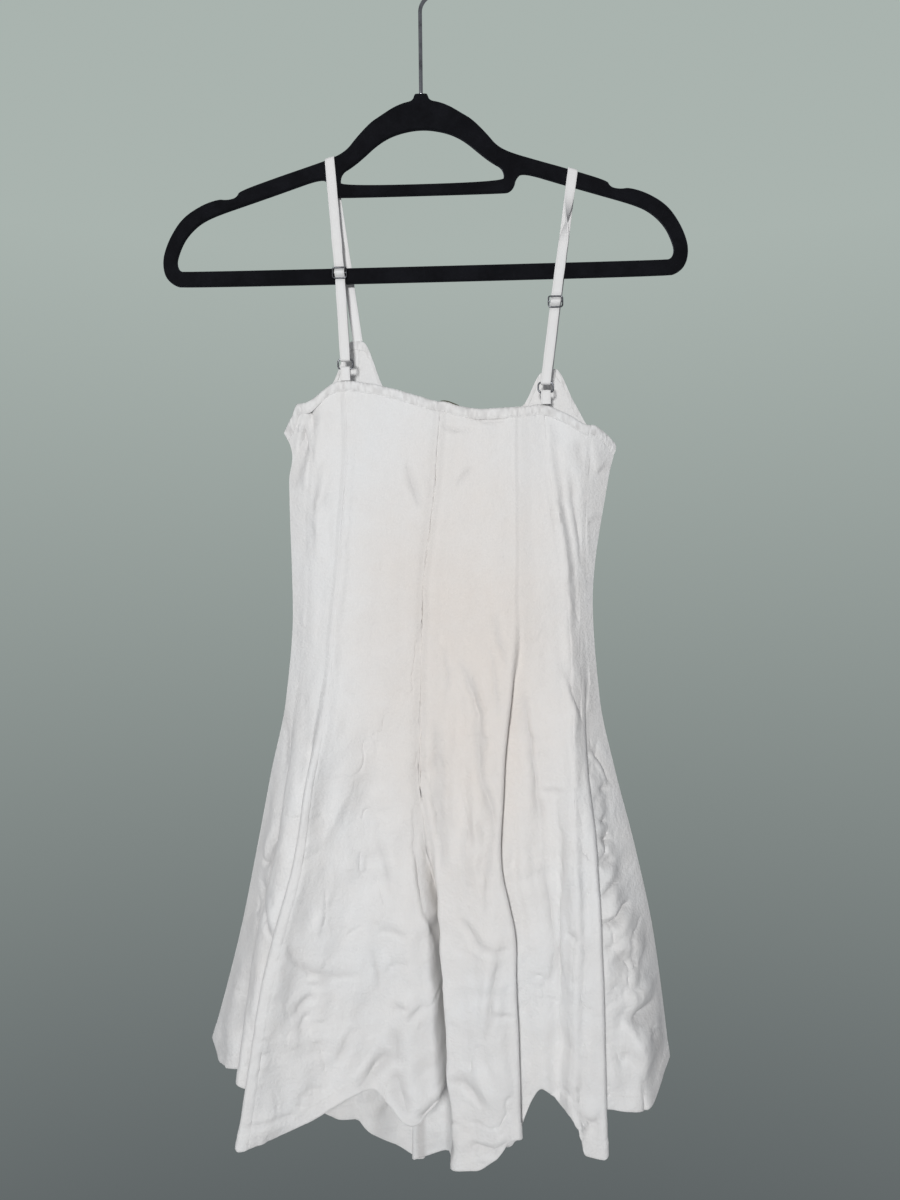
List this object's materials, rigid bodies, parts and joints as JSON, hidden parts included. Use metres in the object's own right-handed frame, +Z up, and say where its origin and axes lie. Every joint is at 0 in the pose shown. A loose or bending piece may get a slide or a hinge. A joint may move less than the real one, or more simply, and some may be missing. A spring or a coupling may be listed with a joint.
{
  "type": "strappy playsuit on a clothes hanger",
  "caption": "Sleeveless flared playsuit with narrow slider straps and princess seams, hung by its straps on a flocked clothes hanger with a wire hook.",
  "frame": {"origin": "inner top of the hanger's hook, where a rail carries it", "axes": "+Z up, +X along the hanger to the right when the garment's back is seen, the garment's back faces -Y"},
  "size_m": [0.451, 0.1149, 1.0613],
  "materials": {
    "white_cotton": "soft matt white cotton, lightly crumpled",
    "black_flock": "black velvet flocking over plastic",
    "chrome_wire": "bright plated wire",
    "olive_label": "plain woven label"
  },
  "bodies": {
    "root": {"side_back_left": "white_cotton", "centre_back_left": "white_cotton", "centre_back_right": "white_cotton", "side_back_right": "white_cotton", "side_front_left": "white_cotton", "centre_front_left": "white_cotton", "centre_front_right": "white_cotton", "side_front_right": "white_cotton", "back_band": "white_cotton", "neckline_binding": "white_cotton", "armhole_binding_left": "white_cotton", "armhole_binding_right": "white_cotton", "strap_left": "white_cotton", "strap_right": "white_cotton", "strap_tab_left": "white_cotton", "strap_tab_right": "white_cotton", "ring_left": "chrome_wire", "ring_right": "chrome_wire", "slider_left": "chrome_wire", "slider_right": "chrome_wire", "hook_wire": "chrome_wire", "hanger_body": "black_flock", "neck_label": "olive_label"}
  },
  "joints": []
}
